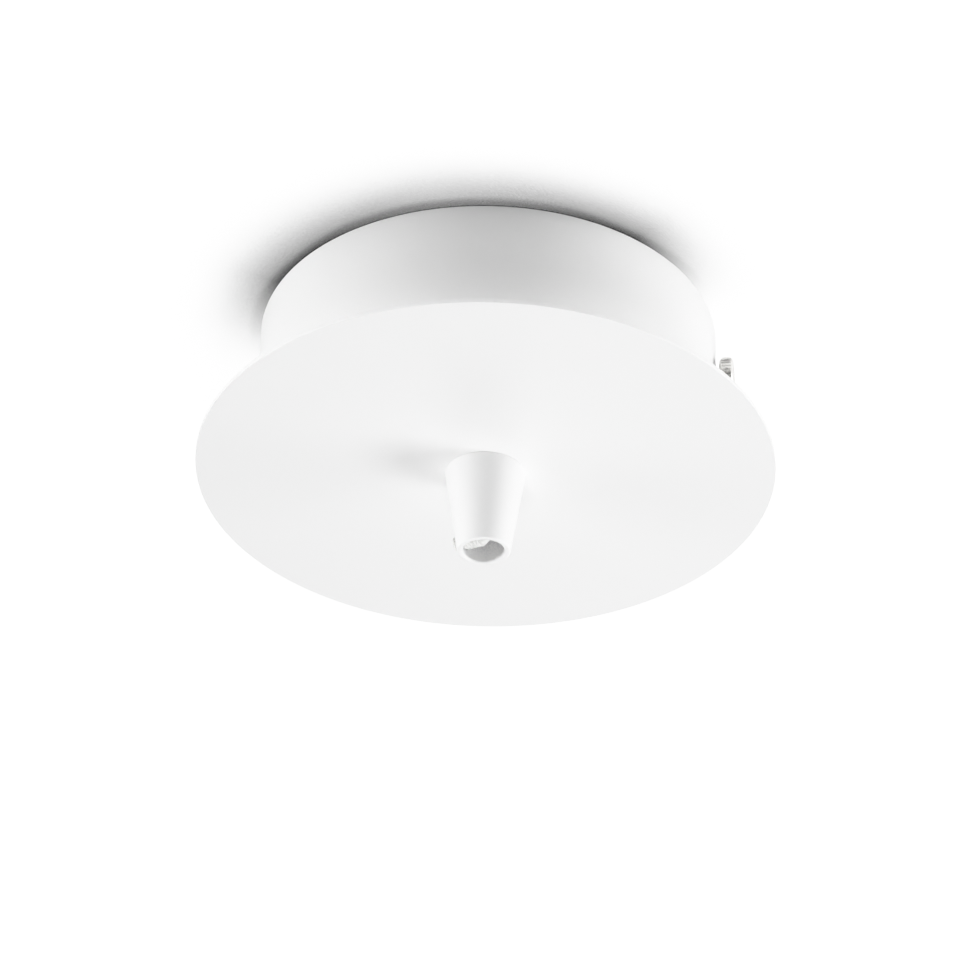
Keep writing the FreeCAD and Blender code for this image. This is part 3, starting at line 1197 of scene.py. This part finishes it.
@dataclass
class CeilingBracket:
    """Strap on the ceiling with a tab turned down at each end."""

    finishes: Finishes
    sheet: float = 1.5 * MM
    bend: float = 1.0 * MM
    slot_place: float = 38.0 * MM
    slot_length: float = 16.0 * MM
    slot_width: float = 5.0 * MM
    cable_hole: float = 7.0 * MM
    cable_hole_steps: int = 64
    earth_hole: float = 2.05 * MM
    block_hole: float = 1.3 * MM
    block_hole_steps: int = 32
    edge: float = 0.22 * MM

    def build(self) -> None:
        """Fold the strap, punch it and ease its edges."""
        box = NodeBox.of("ceiling_bracket")
        end, drop, top = box.high.x, box.low.z, box.high.z
        inner, under = end - self.sheet, top - self.sheet
        outer_bend = self.bend + self.sheet
        strap = Workpiece.prism([
            Corner(-end, drop),
            Corner(-end, top, outer_bend, 8),
            Corner(end, top, outer_bend, 8),
            Corner(end, drop),
            Corner(inner, drop),
            Corner(inner, under, self.bend, 6),
            Corner(-inner, under, self.bend, 6),
            Corner(-inner, drop),
        ], box.high.y - box.low.y)
        low, high = under - self.sheet, top + self.sheet
        punches = Workpiece.rod(self.cable_hole, low, high, self.cable_hole_steps)
        for place in (-self.slot_place, self.slot_place):
            slot = Workpiece.stadium(self.slot_length, self.slot_width, low, high)
            punches.gather(slot.moved(Matrix.Translation((place, 0.0, 0.0))))
        earth = NodeBox.of("earth_screw").middle
        hole = Workpiece.rod(self.earth_hole, low, high)
        punches.gather(hole.moved(Matrix.Translation((earth.x, earth.y, 0.0))))
        screws = NodeBox.of("block_fixing_screws").middle
        for y in BLOCK_SCREW_ROWS:
            hole = Workpiece.rod(self.block_hole, low, high, self.block_hole_steps)
            punches.gather(hole.moved(Matrix.Translation((screws.x, y, 0.0))))
        strap.work(punches, Joining.CUT)
        looks = [self.finishes.zinc]
        strap.finish("folded_strap", "ceiling_bracket", Body.BRACKET, Slot.ZINC, looks, self.edge)


@dataclass
class TerminalBlock:
    """Moulded block under the strap with three brass tubes and their screws."""

    finishes: Finishes
    length: float = 17.0 * MM
    poles: tuple[float, ...] = (-POLE_PITCH, 0.0, POLE_PITCH)
    pole_width: float = 7.0 * MM
    pole_edge: float = 1.2 * MM
    web: float = 3.0 * MM
    inset: float = 0.1 * MM
    chimney_radius: float = 3.0 * MM
    chimney_length: float = 3.4 * MM
    chimney_spacing: float = 8.4 * MM
    seat: float = 0.1 * MM
    tube_radius: float = 2.6 * MM
    tube_bore: float = 1.6 * MM
    tube_edge: float = 0.2 * MM
    tube_mouth_edge: float = 0.25 * MM
    tube_steps: int = 64
    clamp: SlottedScrew = SlottedScrew(1.5 * MM, 0.5 * MM, 1.5 * MM, 1.9 * MM, 1.6 * MM)
    clamp_clear: float = 0.05 * MM
    clamp_turn: float = 0.7
    clamp_next_turn: float = 1.1
    fixing: SlottedScrew = SlottedScrew(1.25 * MM, 0.45 * MM, 4.2 * MM, 2.25 * MM, 1.6 * MM)
    fixing_hole: float = 1.55 * MM
    fixing_turns: tuple[float, ...] = (0.4, 1.3)
    hole_steps: int = 32
    edge: float = 0.2 * MM

    def spots(self) -> list[tuple[float, float]]:
        """Find the screw chimneys.

        Returns:
            X and Y of each chimney.
        """
        middle = NodeBox.of("terminal_block").middle.x
        half = self.chimney_spacing / 2.0
        return [(middle + side, y) for y in self.poles for side in (-half, half)]

    def build(self) -> None:
        """Make and dress the block, its tubes and its screws."""
        self.build_block()
        self.build_tubes()
        self.build_screws()

    def build_block(self) -> None:
        """Mould the block and open its bores."""
        box = NodeBox.of("terminal_block")
        top, tip = box.high.z, box.low.z
        low = tip + self.chimney_length
        half = self.pole_width / 2.0
        middle = box.middle.x
        across = Matrix.Rotation(math.pi / 2.0, 4, "Z")
        reach = self.length / 2.0 - self.inset
        web = Workpiece.box((middle - reach, self.poles[0], top - self.web),
                            (middle + reach, self.poles[-1], top - self.inset))
        poles = Workpiece()
        for y in self.poles:
            pole = Workpiece.prism([
                Corner(-half, top),
                Corner(half, top),
                Corner(half, low, self.pole_edge, 6),
                Corner(-half, low, self.pole_edge, 6),
            ], self.length)
            poles.gather(pole.moved(Matrix.Translation((middle, y, 0.0)) @ across))
        chimneys = Workpiece()
        bores = Workpiece()
        tube_height = NodeBox.of("terminal_tube_1").middle.z
        for x, y in self.spots():
            place = Matrix.Translation((x, y, 0.0))
            chimneys.gather(Workpiece.rod(self.chimney_radius, tip, low + self.inset).moved(place))
            bore = Workpiece.rod(self.clamp.head_radius + self.seat, tip - self.web, tube_height)
            bores.gather(bore.moved(place))
        ways = Workpiece()
        for y in self.poles:
            way = Workpiece.rod(self.tube_radius + self.seat, -self.length, self.length)
            ways.gather(way.moved(Matrix.Translation((middle, y, tube_height)) @ ALONG_X))
        for y in BLOCK_SCREW_ROWS:
            hole = Workpiece.rod(self.fixing_hole, top - 2.0 * self.web, top + self.web, self.hole_steps)
            ways.gather(hole.moved(Matrix.Translation((middle, y, 0.0))))
        poles.work(web, Joining.WELD).work(chimneys, Joining.WELD)
        poles.work(ways, Joining.CUT).work(bores, Joining.CUT)
        looks = [self.finishes.block]
        poles.finish("moulded_block", "terminal_block", Body.BRACKET, Slot.BLOCK, looks, self.edge)

    def build_tubes(self) -> None:
        """Turn the brass tubes and drill them for the clamping screws."""
        for number, y in enumerate(self.poles, 1):
            node = f"terminal_tube_{number}"
            box = NodeBox.of(node)
            half = (box.high.x - box.low.x) / 2.0
            tube = Workpiece.turned([
                Corner(self.tube_bore, -half, self.tube_mouth_edge, 3),
                Corner(self.tube_radius, -half, self.tube_edge, 3),
                Corner(self.tube_radius, half, self.tube_edge, 3),
                Corner(self.tube_bore, half, self.tube_mouth_edge, 3),
            ], self.tube_steps).moved(Matrix.Translation(box.middle) @ ALONG_X)
            hole = self.clamp.radius + self.clamp_clear
            drills = Workpiece()
            for x, row in self.spots():
                if row == y:
                    drill = Workpiece.rod(hole, box.low.z - self.web, box.middle.z, self.hole_steps)
                    drills.gather(drill.moved(Matrix.Translation((x, y, 0.0))))
            tube.work(drills, Joining.CUT)
            tube.finish(f"brass_tube_{number}", node, Body.BRACKET, Slot.BRASS, [self.finishes.brass])

    def build_screws(self) -> None:
        """Make the clamping screws and the two screws that hold the block."""
        seat = NodeBox.of("terminal_screws").low.z + self.clamp.head_length
        model = self.clamp.make()
        clamps = Workpiece()
        for number, (x, y) in enumerate(self.spots()):
            turn = Matrix.Rotation(self.clamp_turn + self.clamp_next_turn * number, 4, "Z")
            clamps.gather(model.copy().moved(Matrix.Translation((x, y, seat)) @ turn))
        clamps.finish("clamp_screws", "terminal_screws", Body.BRACKET, Slot.ZINC, [self.finishes.zinc])
        box = NodeBox.of("block_fixing_screws")
        seat = box.low.z + self.fixing.head_length
        model = self.fixing.make()
        holders = Workpiece()
        for turned, y in zip(self.fixing_turns, BLOCK_SCREW_ROWS):
            place = Matrix.Translation((box.middle.x, y, seat))
            holders.gather(model.copy().moved(place @ Matrix.Rotation(turned, 4, "Z")))
        holders.finish("block_screws", "block_fixing_screws", Body.BRACKET, Slot.ZINC, [self.finishes.zinc])


@dataclass
class EarthTerminal:
    """Earth screw under the strap with its cup washer and spring washer."""

    finishes: Finishes
    screw: SlottedScrew = SlottedScrew(2.0 * MM, 0.7 * MM, 4.4 * MM, 3.9 * MM, 2.6 * MM)
    screw_turn: float = 0.5
    hole: float = 2.25 * MM
    washer_edge: float = 0.1 * MM
    cup_radius: float = 5.0 * MM
    cup_wall: float = 0.9 * MM
    cup_floor: float = 0.8 * MM
    cup_corner: float = 0.4 * MM
    cup_rim: float = 0.15 * MM
    cup_inside: float = 0.25 * MM
    cup_steps: int = 80
    spring_radius: float = 3.5 * MM
    spring_steps: int = 64
    spring_cut: float = 0.8 * MM
    spring_lean: float = math.radians(24.0)

    def build(self) -> None:
        """Make and dress the three pieces."""
        box = NodeBox.of("earth_screw")
        seat = Matrix.Translation((box.middle.x, box.middle.y, box.low.z + self.screw.head_length))
        screw = self.screw.make().moved(seat @ Matrix.Rotation(self.screw_turn, 4, "Z"))
        screw.finish("earth_clamp_screw", "earth_screw", Body.BRACKET, Slot.BRASS, [self.finishes.brass])
        box = NodeBox.of("earth_cup_washer")
        floor = box.low.z + self.cup_floor
        inner = self.cup_radius - self.cup_wall
        aside = Matrix.Translation((box.middle.x, box.middle.y, 0.0))
        cup = Workpiece.turned([
            Corner(self.hole, box.low.z, self.washer_edge, 2),
            Corner(self.cup_radius, box.low.z, self.cup_corner),
            Corner(self.cup_radius, box.high.z, self.cup_rim, 2),
            Corner(inner, box.high.z, self.cup_rim, 2),
            Corner(inner, floor, self.cup_inside, 3),
            Corner(self.hole, floor, self.washer_edge, 2),
        ], self.cup_steps).moved(aside)
        cup.finish("earth_cup", "earth_cup_washer", Body.BRACKET, Slot.BRASS, [self.finishes.brass])
        box = NodeBox.of("earth_lock_washer")
        spring = Workpiece.turned([
            Corner(self.hole, box.low.z, self.washer_edge, 2),
            Corner(self.spring_radius, box.low.z, self.washer_edge, 2),
            Corner(self.spring_radius, box.high.z, self.washer_edge, 2),
            Corner(self.hole, box.high.z, self.washer_edge, 2),
        ], self.spring_steps)
        half = self.spring_cut / 2.0
        reach = self.spring_radius
        saw = Workpiece.box((0.0, -half, -reach), (2.0 * reach, half, reach))
        lean = Matrix.Rotation(self.spring_lean, 4, "X")
        spring.work(saw.moved(Matrix.Translation((0.0, 0.0, box.middle.z)) @ lean), Joining.CUT)
        spring.moved(aside)
        spring.finish("spring_washer", "earth_lock_washer", Body.BRACKET, Slot.ZINC, [self.finishes.zinc])


@dataclass(frozen=True)
class Softbox:
    """A soft lamp aimed at the rose, at a bearing from the front and a drop below it."""

    name: str
    bearing: float
    drop: float
    width: float
    height: float
    power: float
    distance: float = 1.25

    def build(self, aim: Vector) -> None:
        """Hang the lamp and turn it to the aim.

        Args:
            aim: The point that it faces.
        """
        turn, fall = math.radians(self.bearing), math.radians(self.drop)
        away = Vector((math.sin(turn) * math.cos(fall), -math.cos(turn) * math.cos(fall), -math.sin(fall)))
        lamp = bpy.data.lights.new(self.name, "AREA")
        lamp.shape = "ELLIPSE"
        lamp.size = self.width
        lamp.size_y = self.height
        lamp.energy = self.power
        holder = bpy.data.objects.new(self.name, lamp)
        holder.location = aim + self.distance * away
        holder.rotation_euler = (-away).to_track_quat("-Z", "Y").to_euler()
        bpy.context.scene.collection.objects.link(holder)


@dataclass
class Studio:
    """White ceiling with a painted shadow round the drum, pale floor and soft lamps."""

    ceiling_radius: float = 2.0
    inside_radius: float = 59.6 * MM
    ceiling_lift: float = 0.15 * MM
    floor_depth: float = 1.5
    ceiling_tone: float = 0.98
    # The camera sees the ceiling in this tone and glow, both darkened by the painted shadow round the drum.
    seen_tone: float = 0.40
    seen_glow: float = 1.05
    backdrop_white: Colour = (1.5, 1.5, 1.5)
    # Painted shade: the white that throws light back is this dim near the drum's front.
    painted_shade_tone: float = 0.60
    near_reach: float = 100.0 * MM
    near_full: float = 0.6
    near_fade: Span = (0.72, 0.98)
    # Painted shadow round the drum: how far it reaches from the corner and which side it lies on.
    corner_reach: float = 30.0 * MM
    corner_closed: float = 0.445
    gap_reach: float = 4.0 * MM
    gap_closed: float = 0.33
    painted_shade_side: Point = (-0.087, -0.996, 0.0)
    painted_shade_fade: Span = (0.0, 0.62)
    reach_rays: int = 4
    floor_tone: float = 0.80
    floor_roughness: float = 0.9
    aim: Point = (0.0, 0.0, -40.0 * MM)
    steps: int = 128
    lamps: tuple[Softbox, ...] = (
        Softbox("lamp_right", 98.0, 6.0, 0.9, 0.2, 9.6),
        Softbox("lamp_left", 287.4, 6.0, 0.9, 0.2, 10.8),
        Softbox("lamp_low_right", 115.4, 48.0, 0.5, 0.5, 5.6),
        Softbox("lamp_low_left", 253.4, 50.0, 0.6, 0.6, 0.9),
        Softbox("lamp_low_front", 3.4, 65.0, 0.6, 0.6, 7.6),
        Softbox("lamp_behind", 183.4, 25.0, 0.6, 0.6, 1.9),
        Softbox("lamp_below", 0.0, 90.0, 0.8, 0.8, 3.0),
        Softbox("lamp_above", 30.0, -72.0, 0.8, 0.8, 12.0),
    )

    def build(self) -> None:
        """Put up the room and its light."""
        self.build_ceiling()
        self.build_floor()
        self.build_backdrop()
        for lamp in self.lamps:
            lamp.build(Vector(self.aim))

    def build_backdrop(self) -> None:
        """Put a white backdrop round the room that gives no light."""
        world = bpy.data.worlds.new("studio")
        world.use_nodes = True
        tree = world.node_tree
        seen = tree.nodes.new("ShaderNodeLightPath").outputs["Is Camera Ray"]
        tree.nodes["Background"].inputs["Color"].default_value = (*self.backdrop_white, 1.0)
        tree.links.new(seen, tree.nodes["Background"].inputs["Strength"])
        bpy.context.scene.world = world

    def _openness(self, sheet: NodeSheet, reach: float, closed: float) -> Signal:
        """Tell how open the room is round a point of the ceiling.

        Args:
            sheet: The ceiling's nodes.
            reach: How far off a piece still counts, in metres.
            closed: The open share that counts as none.

        Returns:
            The open share, from 0 in the corner to 1 out in the room.
        """
        settings = {"samples": self.reach_rays}
        share = sheet.add("ShaderNodeAmbientOcclusion", settings, {"Distance": reach}, "AO")
        return sheet.ramp(share, closed, 1.0)

    def _painted_corner_shade(self, sheet: NodeSheet, ahead: Signal) -> Signal:
        """Work out the painted shadow in the corner between the ceiling and the drum.

        Args:
            sheet: The ceiling's nodes.
            ahead: How squarely a point lies on the side with the painted shadow.

        Returns:
            The painted shade, from 0 out in the room to 1 in the corner.
        """
        corner = self._openness(sheet, self.corner_reach, self.corner_closed)
        gap = self._openness(sheet, self.gap_reach, self.gap_closed)
        return (1.0 - corner * gap) * sheet.ramp(ahead, *self.painted_shade_fade)

    def _bounce_with_painted_shade(self, sheet: NodeSheet, ahead: Signal) -> Signal:
        """Make the white that throws light back on the rose, with painted shade that dims it near the
        drum's front.

        Args:
            sheet: The ceiling's nodes.
            ahead: How squarely a point lies on the side with the painted shadow.

        Returns:
            The shader.
        """
        away = sheet.add("ShaderNodeVectorMath", {"operation": "LENGTH"}, {0: sheet.place}, "Value")
        beyond = sheet.ramp(away * (1.0 / self.near_reach), self.near_full, 1.0)
        near = sheet.ramp(ahead, *self.near_fade) * (1.0 - beyond)
        bright = sheet.add("ShaderNodeBsdfDiffuse", {}, {"Color": (*grey(self.ceiling_tone), 1.0)})
        painted_dim = sheet.add("ShaderNodeBsdfDiffuse", {}, {"Color": (*grey(self.painted_shade_tone), 1.0)})
        return sheet.add("ShaderNodeMixShader", {}, {0: near, 1: bright, 2: painted_dim})

    def plaster(self, name: str, lets_light_down: bool) -> bpy.types.Material:
        """Make the ceiling's white, which is seen from below only, with a painted shadow round the drum.

        Args:
            name: Name of the material.
            lets_light_down: Whether light from above falls through it.

        Returns:
            The material.
        """
        sheet = NodeSheet(name)
        bearing = sheet.add("ShaderNodeVectorMath", {"operation": "NORMALIZE"}, {0: sheet.place})
        ahead = sheet.add("ShaderNodeVectorMath", {"operation": "DOT_PRODUCT"},
                          {0: bearing, 1: self.painted_shade_side}, "Value")
        shade = self._painted_corner_shade(sheet, ahead)
        # Painted shadow: the colour and glow that the camera sees darken in the corner round the drum's
        # front.
        sheet.shade({
            "Base Color": sheet.blend(grey(self.seen_tone), grey(0.0), shade),
            "Roughness": 1.0,
            "Specular IOR Level": 0.0,
            "Emission Color": sheet.blend(grey(1.0), grey(0.0), shade),
            "Emission Strength": self.seen_glow,
        })
        # Painted shade dims the white that the other rays see near the drum.
        plain = self._bounce_with_painted_shade(sheet, ahead)
        looked_at = sheet.add("ShaderNodeLightPath", {}, {}, "Is Camera Ray")
        painted = Signal(sheet, sheet.shader.outputs["BSDF"])
        opaque = sheet.add("ShaderNodeMixShader", {}, {0: looked_at, 1: plain, 2: painted})
        unseen = sheet.add("ShaderNodeNewGeometry", {}, {}, "Backfacing")
        if lets_light_down:
            shadow = sheet.add("ShaderNodeLightPath", {}, {}, "Is Shadow Ray")
            unseen = unseen.math("MAXIMUM", unseen, shadow)
        clear = sheet.add("ShaderNodeBsdfTransparent", {}, {})
        mixed = sheet.add("ShaderNodeMixShader", {}, {0: unseen, 1: opaque, 2: clear})
        sheet.feed(sheet.tree.nodes["Material Output"], {"Surface": mixed})
        return sheet.material

    def _sheet_of_room(self, name: str, mesh: bmesh.types.BMesh,
                       look: bpy.types.Material) -> bpy.types.Object:
        """Turn a flat mesh into a part of the room.

        Args:
            name: Name of the object.
            mesh: Its mesh.
            look: Its material.

        Returns:
            The object.
        """
        data = bpy.data.meshes.new(name)
        mesh.to_mesh(data)
        mesh.free()
        data.materials.append(look)
        holder = bpy.data.objects.new(name, data)
        bpy.context.scene.collection.objects.link(holder)
        return holder

    def build_ceiling(self) -> None:
        """Lay the ceiling round the drum and the patch inside it."""
        flipped = Matrix.Translation((0.0, 0.0, self.ceiling_lift)) @ Matrix.Rotation(math.pi, 4, "X")
        patch = bmesh.new()
        bmesh.ops.create_circle(patch, cap_ends=True, segments=self.steps, radius=self.inside_radius,
                                matrix=flipped)
        self._sheet_of_room("ceiling_patch", patch, self.plaster("ceiling_patch_white_painted_shadow", True))
        ring = bmesh.new()
        for radius in (self.inside_radius, self.ceiling_radius):
            bmesh.ops.create_circle(ring, segments=self.steps, radius=radius, matrix=flipped)
        bmesh.ops.bridge_loops(ring, edges=ring.edges[:])
        for face in ring.faces:
            face.normal_update()
            if face.normal.z > 0.0:
                face.normal_flip()
        self._sheet_of_room("ceiling", ring, self.plaster("ceiling_white_painted_shadow", False))

    def build_floor(self) -> None:
        """Lay the pale floor."""
        floor = bmesh.new()
        bmesh.ops.create_grid(floor, x_segments=1, y_segments=1, size=self.ceiling_radius,
                              matrix=Matrix.Translation((0.0, 0.0, -self.floor_depth)))
        sheet = NodeSheet("floor_pale")
        pale = (*grey(self.floor_tone), 1.0)
        look = sheet.shade({"Base Color": pale, "Roughness": self.floor_roughness})
        self._sheet_of_room("floor", floor, look).visible_diffuse = False


@dataclass(frozen=True)
class Print:
    """Tones of the picture: straight up to the pale greys, then a soft shoulder to white."""

    white: float = 1.35
    knots: tuple[Span, ...] = ((0.30, 0.30), (0.60, 0.60), (0.80, 0.79), (1.0, 0.925), (1.15, 0.975))

    def build(self) -> None:
        """Set the curve."""
        view = bpy.context.scene.view_settings
        view.view_transform = "Standard"
        view.use_curve_mapping = True
        view.curve_mapping.white_level = grey(self.white)
        for light, shown in self.knots:
            view.curve_mapping.curves[3].points.new(light / self.white, shown)
        view.curve_mapping.update()


@dataclass(frozen=True)
class Viewpoint:
    """Camera that looks up at the rose."""

    azimuth: float = math.radians(8.5)
    rise: float = math.radians(33.78)
    roll: float = math.radians(1.35)
    distance: float = 1118.0 * MM
    aside: float = -2.18 * MM
    below: float = -35.81 * MM
    lens: float = 158.86
    sensor: float = 36.0
    nearest: float = 10.0 * MM

    def build(self) -> None:
        """Set up the camera."""
        ahead = Vector((-math.sin(self.azimuth) * math.cos(self.rise),
                        math.cos(self.azimuth) * math.cos(self.rise), math.sin(self.rise)))
        level = Vector((math.cos(self.azimuth), math.sin(self.azimuth), 0.0))
        above = level.cross(ahead)
        right = math.cos(self.roll) * level + math.sin(self.roll) * above
        up = -math.sin(self.roll) * level + math.cos(self.roll) * above
        camera = bpy.data.cameras.new("camera")
        camera.sensor_width = self.sensor
        camera.lens = self.lens
        camera.clip_start = self.nearest
        holder = bpy.data.objects.new("camera", camera)
        turned = Matrix((right, up, -ahead)).transposed().to_4x4()
        place = -self.distance * ahead + self.aside * right + self.below * up
        holder.matrix_world = Matrix.Translation(place) @ turned
        bpy.context.scene.collection.objects.link(holder)
        bpy.context.scene.camera = holder


def main() -> None:
    """Build the rose piece by piece, then the room and the camera."""
    logging.basicConfig(level=logging.INFO, format="%(name)s: %(message)s")
    finishes = Finishes()
    assemblies = [
        Canopy(finishes),
        CordScrew(finishes),
        ThumbScrew(finishes, Side.RIGHT),
        ThumbScrew(finishes, Side.LEFT),
        NippleStack(finishes),
        WeldNuts(finishes),
        CeilingBracket(finishes),
        TerminalBlock(finishes),
        EarthTerminal(finishes),
    ]
    for assembly in assemblies:
        LOG.info("making %s", type(assembly).__name__)
        assembly.build()
    Studio().build()
    Print().build()
    Viewpoint().build()


if __name__ == "__main__":
    main()
